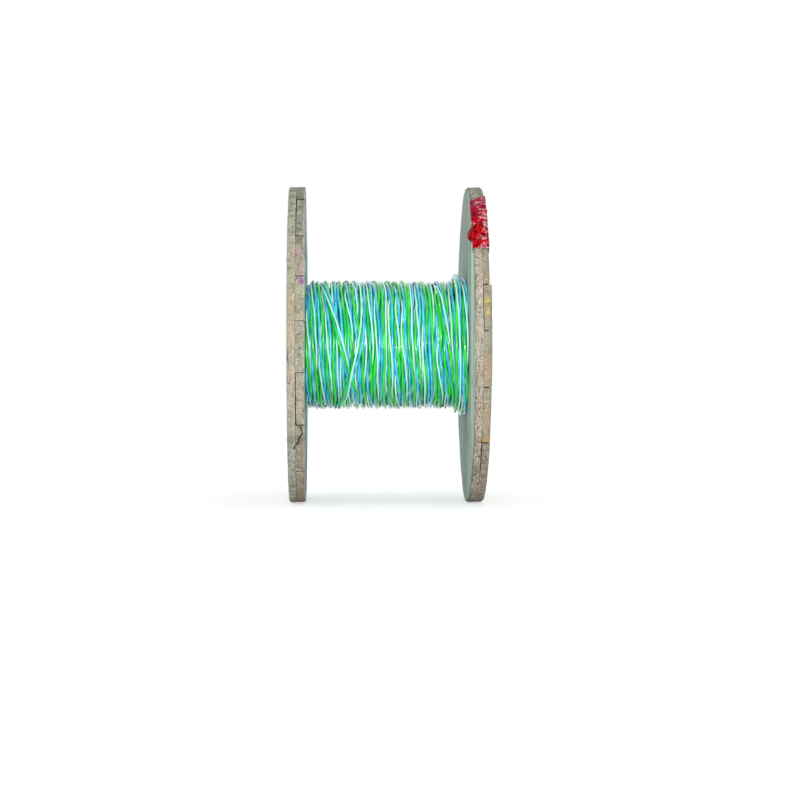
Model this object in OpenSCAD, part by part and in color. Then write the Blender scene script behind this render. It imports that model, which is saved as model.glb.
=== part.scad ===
// Wooden cable drum, wound with a twisted three-core lead.
// The drum's axis lies along X. It stands on the foot flats of its two flanges, on Z = 0.

/* [Flanges] */
// Outside diameter of both flanges
flange_d = 500; // [440:5:620]
// Thickness of one ply of boards, two plies to a flange
ply_t = 13.4; // [11:0.1:18]
// Distance between the inner faces of the two flanges
traverse = 253; // [180:1:400]
// Gap between neighbouring boards of one ply
board_gap = 0.6; // [0.2:0.1:2]
// Width of the worn flat that each flange stands on
foot_flat_w = 64; // [50:1:100]
// Relative widths of the left flange's upright outer boards, front to back
left_outer_widths = [85, 84, 86, 80, 84, 81]; // [20:1:120]
// Relative widths of the left flange's level inner boards, bottom to top
left_inner_widths = [58, 72, 79, 77, 67, 61, 60, 26]; // [20:1:120]
// Relative widths of the right flange's upright inner boards, front to back
right_inner_widths = [38, 89, 106, 114, 93, 60]; // [20:1:120]
// Relative widths of the right flange's level outer boards, bottom to top
right_outer_widths = [103, 84, 84, 69, 75, 85]; // [20:1:120]
// How much thinner than the ply each right outer board is, bottom to top
right_outer_thin = [0, 0, 0, 0, 2.4, 2.4]; // [0:0.1:3]

/* [Barrel] */
// Diameter of the barrel across the corners of its staves
barrel_d = 150; // [138:1:180]
// Number of staves round the barrel
stave_count = 12; // [12]
// Thickness of a stave
stave_t = 14; // [8:0.5:18]
// Gap between neighbouring staves
stave_gap = 0.6; // [0.2:0.1:2]
// Thickness of the round head inside each end of the barrel
head_t = 15; // [12:0.5:25]

/* [Spindle bush] */
// Radius of the bore that the spindle passes through
spindle_r = 18; // [12:0.5:22]
// Wall of the steel bush
bush_wall = 3; // [2:0.5:4]
// Width of the bush's round plate, from the bush out, let into the outer face
hub_plate_w = 9; // [8:0.5:12]
// Thickness of the bush's round plate
hub_plate_t = 2.5; // [1.5:0.1:4]
// Number of nails through each bush plate
hub_nail_count = 4; // [3:1:6]
// Length of a nail through a bush plate
hub_nail_len = 22; // [12:1:24]

/* [Tie rods] */
// Number of tie rods that clamp the flanges on the barrel
rod_count = 3; // [2:1:4]
// Radius of a tie rod
rod_r = 5; // [3:0.5:5]
// Radius of a washer
washer_r = 12; // [10:0.5:14]
// Thickness of a washer
washer_t = 2; // [1:0.1:3]
// Width across flats of a nut
nut_flats = 17; // [14:0.5:18]
// Height of a nut
nut_h = 7; // [5:0.5:8]
// Depth that a nut and its rod end lie below the outer face
nut_recess = 1; // [0.5:0.1:2]
// Room round a washer in its pocket
pocket_room = 1; // [0.5:0.1:3]
// Wood left between a washer's pocket and the bush's plate
pocket_gap = 1; // [0.5:0.1:4]

/* [Nails] */
// Radius of a flange nail's shank
nail_r = 1.5; // [1:0.1:2]
// Radius of a flange nail's head
nail_head_r = 3.5; // [3:0.1:4.5]
// Thickness of a nail's head, let in flush
nail_head_t = 1; // [0.5:0.1:1.5]
// Least distance from a nail to the rim
nail_rim = 13; // [8:0.5:16]
// Least distance from a nail to its board's long edge
nail_side = 6; // [5:0.5:8]
// Wood left between a nail's head and a washer's pocket
nail_gap = 2; // [1:0.5:6]
// Length of a nail through a stave into its head
stave_nail_len = 20; // [16:1:21]

/* [Wire] */
// Diameter of the twisted lead
lead_d = 9.9; // [8:0.1:12]
// Depth of the layers of wire under the outer one
under_depth = 16.8; // [8:0.1:40]
// Least gap between neighbouring turns
turn_gap = 0.85; // [0.6:0.05:1.5]
// Direction, round the drum, in which the outer layer starts
start_angle = -105; // [-180:1:180]
// Turns of the second layer at the right flange
upper_turns = 1.5; // [0.5:0.5:1.5]

/* [Tape] */
// Thickness of the tape
tape_t = 0.8; // [0.4:0.1:1.2]
// Length of rim that the tape covers, in degrees
tape_arc = 32.5; // [10:0.5:60]
// Height of the tape's lower end above the front of the rim, in degrees
tape_start = 35.5; // [20:0.5:60]
// Depth to which the tape is folded over the inner face
tape_inner_fold = 12; // [6:0.5:20]
// Depth to which the tape is folded over the outer face
tape_outer_fold = 16; // [6:0.5:25]

/* [Fits] */
// Radial clearance of a nail in its hole, and of a nut on its rod
close_fit = 0.05; // [0.03:0.01:0.1]
// Radial clearance of the bush and its plate in the wood
bush_fit = 0.1; // [0.05:0.05:0.3]
// Radial clearance of a tie rod in the wood, and in its washer
rod_fit = 0.3; // [0.2:0.1:0.5]
// Clearance of the barrel heads inside the staves
head_fit = 0.2; // [0.1:0.1:0.5]
// Clearance of the winding from the barrel and the flanges
wind_fit = 0.3; // [0.1:0.1:0.5]
// Clearance of the outer turns from the layers under them
layer_fit = 0.06; // [0.05:0.01:0.3]
// Clearance of the tape from the wood
tape_fit = 0.1; // [0.05:0.05:0.2]

/* [Hidden] */
$fn = 96;
cut = 1;               // overshoot of a cut past the face it opens
ring_steps = 24;       // rings in one turn of the lead
lead_sides = 6;        // sides of the lead's section
hub_nail_turn = 30;    // keeps the bush nails clear of the boards' seams

flange_r = flange_d / 2;
flange_t = 2 * ply_t;
axis_h = sqrt(pow(flange_r, 2) - pow(foot_flat_w / 2, 2));

bush_r = spindle_r + bush_wall;
hub_plate_r = bush_r + hub_plate_w;
hub_nail_circle_r = (bush_r + hub_plate_r) / 2 + bush_fit;
pocket_r = washer_r + pocket_room;
rod_circle_r = hub_plate_r + bush_fit + pocket_gap + pocket_r;
pocket_depth = washer_t + nut_h + nut_recess;
nail_inner_r = rod_circle_r + pocket_r + nail_head_r + nail_gap;

stave_outer = barrel_d / 2 * cos(180 / stave_count);
stave_inner = stave_outer - stave_t;
head_r = stave_inner - head_fit;

lead_r = lead_d / 2;
core_r = barrel_d / 2 + under_depth;
turn_r = (core_r + layer_fit) / cos(180 / ring_steps) + lead_r;
wound_span = traverse - lead_d - 2 * wind_fit;
base_turns = floor(2 * wound_span / (lead_d + turn_gap)) / 2;
pitch = wound_span / base_turns;
layer_rise = lead_d + turn_gap;
all_turns = base_turns + upper_turns;

// Positions of the seams between boards, from one edge of the flange to the other
function total(v, n) = n <= 0 ? 0 : v[n - 1] + total(v, n - 1);
function seams(widths) = [
    for (i = [0 : len(widths)]) flange_d * (total(widths, i) / total(widths, len(widths)) - 0.5)
];
left_outer_seams = seams(left_outer_widths);
left_inner_seams = seams(left_inner_widths);
right_inner_seams = seams(right_inner_widths);
right_outer_seams = seams(right_outer_widths);

// One nail at each crossing of an upright and a level board: [across, up, upright board, level board]
function clear_of_seams(p, s, i) = p > s[i] + nail_side && p < s[i + 1] - nail_side;
function nail_list(uprights, levels) = [
    for (i = [0 : len(uprights) - 2]) for (j = [0 : len(levels) - 2])
        let (
            middle = [(uprights[i] + uprights[i + 1]) / 2, (levels[j] + levels[j + 1]) / 2],
            pull = min(1, (flange_r - nail_rim) / norm(middle)),
            p = middle * pull
        )
        if (norm(p) > nail_inner_r && clear_of_seams(p[0], uprights, i) && clear_of_seams(p[1], levels, j))
            [p[0], p[1], i, j]
];
left_nails = nail_list(left_outer_seams, left_inner_seams);
right_nails = nail_list(right_inner_seams, right_outer_seams);

function names(stem, widths) = [for (i = [1 : len(widths)]) str(stem, i)];

// ---- Placing ----

// Puts a flange's own frame in place: x runs back, y runs up and z runs outwards from its inner face
module on_flange(side) {
    translate([side * traverse / 2, 0, axis_h]) rotate([90, 0, 90])
        mirror([0, 0, side < 0 ? 1 : 0]) children();
}

module on_both_flanges() {
    for (side = [-1, 1]) on_flange(side) children();
}

module on_rods() {
    for (i = [0 : rod_count - 1]) rotate(90 + 360 * i / rod_count) translate([rod_circle_r, 0, 0]) children();
}

module on_hub_nails() {
    for (i = [0 : hub_nail_count - 1])
        rotate(hub_nail_turn + 360 * i / hub_nail_count) translate([hub_nail_circle_r, 0, 0]) children();
}

// Nail whose head's top is on z = 0 and whose shank points down; grow makes its hole
module nail(r, head_r, len, grow = 0) {
    translate([0, 0, -len - (grow > 0 ? cut : 0)]) cylinder(r = r + grow, h = len + (grow > 0 ? cut : 0));
    translate([0, 0, -nail_head_t]) cylinder(r = head_r + grow, h = nail_head_t + (grow > 0 ? cut : 0));
}

// ---- Flanges ----

module flange_outline() {
    difference() {
        circle(d = flange_d);
        translate([-foot_flat_w, -flange_d]) square([2 * foot_flat_w, flange_d - axis_h]);
    }
}

// The strip of a ply that board i fills, upright or level
module strip(s, i, upright) {
    low = i == 0 ? s[i] - cut : s[i] + board_gap / 2;
    high = i == len(s) - 2 ? s[i + 1] + cut : s[i + 1] - board_gap / 2;
    translate(upright ? [low, -flange_d] : [-flange_d, low])
        square(upright ? [high - low, 2 * flange_d] : [2 * flange_d, high - low]);
}

// Holes for the bush, its plate and nails, and for the tie rods with their nuts
module flange_holes() {
    translate([0, 0, -cut]) cylinder(r = bush_r + bush_fit, h = flange_t + 2 * cut);
    translate([0, 0, flange_t - hub_plate_t]) cylinder(r = hub_plate_r + bush_fit, h = hub_plate_t + cut);
    on_hub_nails() translate([0, 0, flange_t]) nail(nail_r, nail_head_r, hub_nail_len, close_fit);
    on_rods() {
        translate([0, 0, -cut]) cylinder(r = rod_r + rod_fit, h = flange_t + 2 * cut);
        translate([0, 0, flange_t - pocket_depth]) cylinder(r = pocket_r, h = pocket_depth + cut);
    }
}

// A board between two heights above the inner face; its nails' heads lie flush at head_at
module flange_board(s, i, upright, from, to, nails, head_at) {
    which = upright ? 2 : 3;
    difference() {
        translate([0, 0, from]) linear_extrude(to - from) intersection() {
            flange_outline();
            strip(s, i, upright);
        }
        flange_holes();
        for (n = nails) if (n[which] == i)
            translate([n[0], n[1], head_at(n)]) nail(nail_r, nail_head_r, flange_t, close_fit);
    }
}

left_head_at = function (n) flange_t;
right_head_at = function (n) flange_t - right_outer_thin[n[3]];

module left_outer_board(i) {
    color("#b9ae95") on_flange(-1)
        flange_board(left_outer_seams, i, true, ply_t, flange_t, left_nails, left_head_at);
}

module left_inner_board(i) {
    color("#a9a18b") on_flange(-1)
        flange_board(left_inner_seams, i, false, 0, ply_t, left_nails, left_head_at);
}

module right_inner_board(i) {
    color("#8b9788") on_flange(1)
        flange_board(right_inner_seams, i, true, 0, ply_t, right_nails, right_head_at);
}

module right_outer_board(i) {
    color("#b2a78e") on_flange(1)
        flange_board(right_outer_seams, i, false, ply_t, flange_t - right_outer_thin[i], right_nails, right_head_at);
}

module flange_nails(side, nails, head_at) {
    color("#6f6a64") on_flange(side)
        for (n = nails) translate([n[0], n[1], head_at(n)]) nail(nail_r, nail_head_r, head_at(n));
}

// ---- Barrel ----

module barrel_stave(i) {
    slope = tan(180 / stave_count);
    inner_half = stave_inner * slope - stave_gap / 2;
    outer_half = stave_outer * slope - stave_gap / 2;
    color("#a08c6c") difference() {
        translate([-traverse / 2, 0, axis_h]) rotate([90, 0, 90]) linear_extrude(traverse)
            rotate(360 * i / stave_count) polygon([
                [stave_inner, -inner_half], [stave_outer, -outer_half],
                [stave_outer, outer_half], [stave_inner, inner_half]
            ]);
        on_stave_nails(i) nail(nail_r, nail_head_r, stave_nail_len, close_fit);
    }
}

// Both nails of stave i, through it into the middle of each barrel head
module on_stave_nails(i) {
    on_both_flanges() rotate(360 * i / stave_count) translate([stave_outer, 0, -head_t / 2])
        rotate([0, 90, 0]) children();
}

module stave_nails() {
    color("#6f6a64") for (i = [0 : stave_count - 1])
        on_stave_nails(i) nail(nail_r, nail_head_r, stave_nail_len);
}

module barrel_head(side) {
    color("#b39a72") difference() {
        on_flange(side) difference() {
            translate([0, 0, -head_t]) cylinder(r = head_r, h = head_t);
            translate([0, 0, -head_t - cut]) cylinder(r = bush_r + bush_fit, h = head_t + 2 * cut);
            on_rods() translate([0, 0, -head_t - cut]) cylinder(r = rod_r + rod_fit, h = head_t + 2 * cut);
        }
        for (i = [0 : stave_count - 1]) on_stave_nails(i) nail(nail_r, nail_head_r, stave_nail_len, close_fit);
    }
}

// ---- Steelwork ----

module spindle_bush(side) {
    color("#8d8f92") on_flange(side) difference() {
        union() {
            translate([0, 0, -head_t]) cylinder(r = bush_r, h = head_t + flange_t);
            translate([0, 0, flange_t - hub_plate_t]) cylinder(r = hub_plate_r, h = hub_plate_t);
        }
        translate([0, 0, -head_t - cut]) cylinder(r = spindle_r, h = head_t + flange_t + 2 * cut);
        on_hub_nails() translate([0, 0, flange_t]) nail(nail_r, nail_head_r, hub_nail_len, close_fit);
    }
}

module bush_nails() {
    color("#6f6a64") on_both_flanges() on_hub_nails() translate([0, 0, flange_t])
        nail(nail_r, nail_head_r, hub_nail_len);
}

module tie_rods() {
    half = traverse / 2 + flange_t - nut_recess;
    color("#8d8f92") translate([-half, 0, axis_h]) rotate([90, 0, 90])
        on_rods() cylinder(r = rod_r, h = 2 * half);
}

module tie_rod_washers() {
    color("#9a9c9e") on_both_flanges() on_rods() translate([0, 0, flange_t - pocket_depth]) difference() {
        cylinder(r = washer_r, h = washer_t);
        translate([0, 0, -cut]) cylinder(r = rod_r + rod_fit, h = washer_t + 2 * cut);
    }
}

module tie_rod_nuts() {
    color("#8d8f92") on_both_flanges() on_rods()
        translate([0, 0, flange_t - pocket_depth + washer_t]) difference() {
            cylinder(d = nut_flats / cos(30), h = nut_h, $fn = 6);
            translate([0, 0, -cut]) cylinder(r = rod_r + close_fit, h = nut_h + 2 * cut);
        }
}

// ---- Wire ----

// The layers under the outer one
module lower_wire_layers() {
    length = traverse - 2 * wind_fit;
    color("#2f8f74") translate([-length / 2, 0, axis_h]) rotate([90, 0, 90]) difference() {
        cylinder(r = core_r, h = length);
        translate([0, 0, -cut]) cylinder(r = barrel_d / 2 + wind_fit, h = length + 2 * cut);
    }
}

// The outer layer runs from the left flange to the right one. There it climbs on to its own
// last turns, stays a half turn, steps back by one pitch in the next half turn, and stays again.
function climb(u) = u <= 0 ? 0 : u < 0.5 ? layer_rise * sqrt(1 - pow(1 - 2 * u, 2)) : layer_rise;
function step_back(u) = floor(u) + max(0, 2 * (u - floor(u)) - 1);
function lead_x(turn) = turn <= base_turns
    ? pitch * turn - wound_span / 2
    : wound_span / 2 - pitch * step_back(turn - base_turns);
function lead_radius(turn) = turn_r + climb(turn - base_turns);
function lead_angle(turn) = start_angle + 360 * turn;
function lead_point(turn) = let (a = lead_angle(turn), r = lead_radius(turn))
    [lead_x(turn), r * cos(a), axis_h + r * sin(a)];

// Ring of the lead's section, at a turn, moved along the lead by a straight run
function lead_ring(turn, run) = let (a = lead_angle(turn), along = [0, -sin(a), cos(a)]) [
    for (k = [0 : lead_sides - 1]) let (b = 360 * k / lead_sides)
        lead_point(turn) + run * along + lead_r * [sin(b), cos(b) * cos(a), cos(b) * sin(a)]
];

module outer_wire_layer() {
    steps = all_turns * ring_steps;
    rings = concat(
        [lead_ring(0, -lead_d)],
        [for (i = [0 : steps]) lead_ring(i / ring_steps, 0)],
        [lead_ring(all_turns, lead_d)]
    );
    last = len(rings) - 1;
    points = [for (ring = rings) for (p = ring) p];
    walls = [
        for (i = [0 : last - 1]) for (k = [0 : lead_sides - 1])
            let (a = i * lead_sides + k, b = i * lead_sides + (k + 1) % lead_sides, up = lead_sides)
                each [[a, b, b + up], [a, b + up, a + up]]
    ];
    caps = [
        for (k = [1 : lead_sides - 2])
            each [[0, k + 1, k], [last * lead_sides, last * lead_sides + k, last * lead_sides + k + 1]]
    ];
    color("#3fb08f") polyhedron(points = points, faces = concat(walls, caps));
}

// Least gap of the lead to itself, between its centre points from half a turn to near_turns apart
near_turns = 2.5;
lead_points = [for (i = [0 : all_turns * ring_steps]) lead_point(i / ring_steps)];
lead_gap = min([
    for (i = [0 : len(lead_points) - 1])
        for (j = [i + ring_steps / 2 : min(i + near_turns * ring_steps, len(lead_points) - 1)])
            norm(lead_points[i] - lead_points[j])
]) - lead_d;
echo(least_gap_of_the_wire_to_itself_mm = lead_gap);

// ---- Tape ----

// Tape over the right flange's rim, folded over both faces
module rim_tape() {
    top = flange_t - right_outer_thin[len(right_outer_thin) - 1] + tape_fit;
    over = flange_r + tape_fit;
    color("#c01828") on_flange(1) rotate(180 - tape_start - tape_arc) rotate_extrude(angle = tape_arc)
        polygon([
            [over - tape_inner_fold, -tape_fit - tape_t], [over + tape_t, -tape_fit - tape_t],
            [over + tape_t, top + tape_t], [over - tape_outer_fold, top + tape_t],
            [over - tape_outer_fold, top], [over, top],
            [over, -tape_fit], [over - tape_inner_fold, -tape_fit]
        ]);
}

for (i = [0 : len(left_outer_widths) - 1])
    left_outer_board(i);
for (i = [0 : len(left_inner_widths) - 1])
    left_inner_board(i);
for (i = [0 : len(right_inner_widths) - 1])
    right_inner_board(i);
for (i = [0 : len(right_outer_widths) - 1])
    right_outer_board(i);
for (i = [0 : stave_count - 1])
    barrel_stave(i);
barrel_head(-1);  // left_barrel_head
barrel_head(1);  // right_barrel_head
spindle_bush(-1);  // left_spindle_bush
spindle_bush(1);  // right_spindle_bush
bush_nails();
flange_nails(-1, left_nails, left_head_at);  // left_flange_nails
flange_nails(1, right_nails, right_head_at);  // right_flange_nails
stave_nails();
tie_rods();
tie_rod_washers();
tie_rod_nuts();
lower_wire_layers();
outer_wire_layer();
rim_tape();
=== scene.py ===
import math
import random

import bmesh
import bpy
import numpy as np
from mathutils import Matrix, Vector, noise


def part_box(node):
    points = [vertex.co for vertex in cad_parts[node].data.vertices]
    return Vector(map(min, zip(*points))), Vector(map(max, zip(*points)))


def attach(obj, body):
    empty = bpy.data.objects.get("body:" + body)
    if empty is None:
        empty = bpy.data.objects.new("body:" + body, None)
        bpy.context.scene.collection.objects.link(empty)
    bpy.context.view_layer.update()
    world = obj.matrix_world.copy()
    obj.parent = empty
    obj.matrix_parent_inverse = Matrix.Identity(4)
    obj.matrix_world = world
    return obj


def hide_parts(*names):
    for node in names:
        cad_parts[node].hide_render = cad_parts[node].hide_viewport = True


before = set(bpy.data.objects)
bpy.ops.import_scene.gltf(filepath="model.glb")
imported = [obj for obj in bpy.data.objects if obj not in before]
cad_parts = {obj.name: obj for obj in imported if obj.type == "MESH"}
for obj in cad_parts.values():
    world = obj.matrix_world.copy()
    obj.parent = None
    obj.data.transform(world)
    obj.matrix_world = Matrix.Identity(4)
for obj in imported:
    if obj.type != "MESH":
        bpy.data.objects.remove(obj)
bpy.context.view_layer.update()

MM = 0.001

# ---- Sizes of the drum, in metres ----

FLANGE_R = 0.250
PLY = 0.0134
BUSH_LOW, BUSH_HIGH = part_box("right_spindle_bush")
AXIS_H = (BUSH_LOW[2] + BUSH_HIGH[2]) / 2
INNER_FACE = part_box("right_inner_board_1")[0][0]
BUSH_HOLE_R = 0.0211
PLATE_HOLE_R = 0.0301
PLATE_T = 0.0025
ROD_HOLE_R = 0.0053
POCKET_R = 0.013
POCKET_DEPTH = 0.010
ROD_CIRCLE_R = 0.0441
ROD_COUNT = 3
NAIL_HEAD_R = 3.5 * MM
NAIL_RIM = 13 * MM
NAIL_SIDE = 6 * MM
NAIL_INNER_R = ROD_CIRCLE_R + POCKET_R + NAIL_HEAD_R + 2 * MM
ROD_R = 5 * MM
ROD_PROUD = 0.8 * MM            # end of a rod past its nut, still under the outer face
NUT_FLATS = 17 * MM
NUT_H = 7 * MM
NUT_RECESS = 1 * MM
NUT_SEGMENTS = 72
THREAD_STEPS = 16
THREAD_DEPTH = 0.75 * MM
HUB_NAIL_CIRCLE_R = 0.0256
HUB_NAIL_COUNT = 4
HUB_NAIL_TURN = 30
HEAD_PROUD = 0.8 * MM
STAVE_COUNT = 12

BOARD_COUNTS = {"left_outer": 6, "left_inner": 8, "right_inner": 6, "right_outer": 6}
UPRIGHT = {"left_outer": True, "left_inner": False, "right_inner": True, "right_outer": False}
RIGHT_OUTER_THIN = [0, 0, 0, 0, 2.4 * MM, 2.4 * MM]     # how much thinner each board is

# ---- Sizes of the winding ----

LEAD_R = 4.95 * MM
CORE_R = {"green": 2.25 * MM, "blue": 2.05 * MM, "white": 1.3 * MM}
LAY_HALF_WIDTH = 3.35 * MM      # the three cores lie in a flattened twist
LAY_HALF_HEIGHT = 2.3 * MM
LAY_LIFT = 0.5 * MM
TURN_R = 97.60 * MM
UNDER_CREST = 96.3 * MM         # top of the turns that show through the outer layer
UNDER_TURNS = 25
LAYER_DEPTH = 7.5 * MM
BASE_TURNS = 22.5
UPPER_TURNS = 1.5
RINGS_PER_TURN = 112
WOUND_HALF = 121.25 * MM
PITCH = 2 * WOUND_HALF / BASE_TURNS
LAYER_RISE = 10.75 * MM
START_ANGLE = math.radians(-105)
FIRST_TURN = 0.8                # share of a turn that comes up beside the left flange
TWISTS_PER_TURN = 2.5
CORES = ("green", "blue", "white")


# ---- Shader values ----

def rgb(red, green, blue):
    """A display colour, 0 to 255, as the linear colour that shaders take."""
    linear = []
    for level in (red, green, blue):
        part = level / 255
        linear.append(part / 12.92 if part <= 0.04045 else ((part + 0.055) / 1.055) ** 2.4)
    return (*linear, 1.0)


class Value:
    """An output of a shader node. Its operators add Math nodes."""

    def __init__(self, tree, socket):
        self.tree = tree
        self.socket = socket

    def node(self, kind, inputs, output=0, **settings):
        made = self.tree.nodes.new(kind)
        for key, setting in settings.items():
            setattr(made, key, setting)
        pairs = inputs.items() if isinstance(inputs, dict) else enumerate(inputs)
        for key, given in pairs:
            if isinstance(given, Value):
                self.tree.links.new(given.socket, made.inputs[key])
            else:
                made.inputs[key].default_value = given
        return Value(self.tree, made.outputs[output])

    def math(self, operation, *given):
        return self.node("ShaderNodeMath", given, operation=operation)

    def __add__(self, other):
        return self.math("ADD", self, other)

    def __radd__(self, other):
        return self.math("ADD", other, self)

    def __sub__(self, other):
        return self.math("SUBTRACT", self, other)

    def __rsub__(self, other):
        return self.math("SUBTRACT", other, self)

    def __mul__(self, other):
        return self.math("MULTIPLY", self, other)

    def __rmul__(self, other):
        return self.math("MULTIPLY", other, self)

    def __truediv__(self, other):
        return self.math("DIVIDE", self, other)

    def size(self):
        return self.math("ABSOLUTE", self)

    def root(self):
        return self.math("SQRT", self)

    def fraction(self):
        return self.math("FRACT", self)

    def least(self, other):
        return self.math("MINIMUM", self, other)

    def most(self, other):
        return self.math("MAXIMUM", self, other)

    def band(self, low, high):
        """0 below low, 1 above high, and smooth between them."""
        inputs = [self, low, high, 0.0, 1.0]
        return self.node("ShaderNodeMapRange", inputs, interpolation_type="SMOOTHSTEP")

    def part(self, index):
        return self.node("ShaderNodeSeparateXYZ", [self], output=index)

    def scaled(self, by):
        return self.node("ShaderNodeVectorMath", [self, by], operation="MULTIPLY")

    def moved(self, by):
        return self.node("ShaderNodeVectorMath", [self, by], operation="ADD")

    def away(self, point):
        return self.node("ShaderNodeVectorMath", [self, point], output="Value", operation="DISTANCE")

    def noise(self, scale, detail=2.0, rough=0.5):
        inputs = {"Vector": self, "Scale": scale, "Detail": detail, "Roughness": rough}
        return self.node("ShaderNodeTexNoise", inputs)


def mix(factor, low, high):
    """The colour low where factor is 0, and high where it is 1."""
    return factor.node("ShaderNodeMix", {0: factor, 6: low, 7: high}, output=2, data_type="RGBA")


class Finish:
    """A material with its Principled shader and the place on the object, in metres."""

    def __init__(self, name, roughness, metallic=0.0, coat=0.0, specular=0.5):
        self.made = bpy.data.materials.new(name)
        self.made.use_nodes = True
        self.tree = self.made.node_tree
        self.shader = self.tree.nodes["Principled BSDF"]
        self.shader.inputs["Roughness"].default_value = roughness
        self.shader.inputs["Metallic"].default_value = metallic
        self.shader.inputs["Coat Weight"].default_value = coat
        self.shader.inputs["Coat Roughness"].default_value = 0.1
        self.shader.inputs["Specular IOR Level"].default_value = specular
        self.place = Value(self.tree, self.tree.nodes.new("ShaderNodeTexCoord").outputs["Object"])

    def set(self, name, value):
        self.tree.links.new(value.socket, self.shader.inputs[name])

    def bump(self, height, strength, distance):
        inputs = {"Strength": strength, "Distance": distance, "Height": height}
        self.set("Normal", height.node("ShaderNodeBump", inputs))

    def facing(self, index):
        geometry = self.tree.nodes.new("ShaderNodeNewGeometry")
        return Value(self.tree, geometry.outputs["True Normal"]).part(index)


# ---- Wood ----

# Pale and dark tone of each ply
WOOD_TONES = {
    "left_outer": (rgb(200, 187, 161), rgb(128, 116, 93)),
    "left_inner": (rgb(177, 171, 153), rgb(111, 105, 90)),
    "right_inner": (rgb(194, 182, 166), rgb(119, 106, 87)),
    "right_outer": (rgb(158, 149, 127), rgb(97, 89, 71)),
    "barrel": (rgb(190, 170, 132), rgb(138, 112, 76)),
}
# Look of each rim: specks in patches, specks all over, tone near the foot, tone near the top
RIM_LOOK = {
    "left_outer": (0.45, 0.0, rgb(166, 180, 172), rgb(162, 171, 148)),
    "left_inner": (0.65, 0.0, rgb(175, 156, 138), rgb(132, 140, 126)),
    "right_inner": (1.0, 0.35, rgb(170, 160, 147), rgb(168, 169, 148)),
    "right_outer": (0.7, 0.0, rgb(166, 150, 135), rgb(158, 158, 140)),
    "barrel": (0.3, 0.0, rgb(150, 140, 120), rgb(150, 140, 120)),
}

WEATHERED = rgb(142, 134, 112)
WARM_BROWN = rgb(192, 164, 126)
MOSS_GREY = rgb(152, 158, 138)
GRIME_DARK = rgb(118, 110, 88)
PIT_DARK = rgb(92, 82, 62)
BLEACHED = rgb(224, 218, 198)
WORM_BROWN = rgb(104, 78, 50)
END_DARK = rgb(100, 98, 84)
END_PALE = rgb(190, 190, 172)
PEPPER = rgb(98, 78, 60)
SALT = rgb(236, 230, 212)
KNOT_PALE = rgb(122, 96, 66)
KNOT_DARK = rgb(72, 54, 38)
# Dark colour of cracks, also used as painted shade in the seams of the right outer boards
CRACK_DARK_AND_SEAM_SHADE = rgb(52, 45, 36)
RUST_STAIN = rgb(98, 66, 46)
# Pale colour of rubbed wood, also used for a painted highlight line on the left inner rim
PALE_WEAR_AND_HIGHLIGHT = rgb(214, 208, 190)

GREEN_GREY = rgb(222, 238, 227)
GREEN_DARK = rgb(158, 174, 161)
GREEN_BROAD = rgb(136, 152, 139)
GREEN_LINE = rgb(104, 122, 106)
GREEN_PALE = rgb(206, 232, 220)
GREEN_CLEAR = rgb(236, 250, 240)
# Greyer tones near the foot and the top of the inner faces; the greener middle they leave is painted green
# light bounced off the winding
GREEN_FOOT = rgb(206, 214, 206)
GREEN_END = rgb(180, 184, 170)
# Painted shade on the rounded corner between an inner face and its rim
GREEN_CORNER_SHADE = rgb(88, 104, 92)
CLEAR_BACK = -0.172             # middle of the palest band on the right inner face

KNOT_SQUASH = 0.55              # knots are longer along the grain
KNOT_SPREAD = 0.19              # how far from the axis a knot may lie


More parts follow.
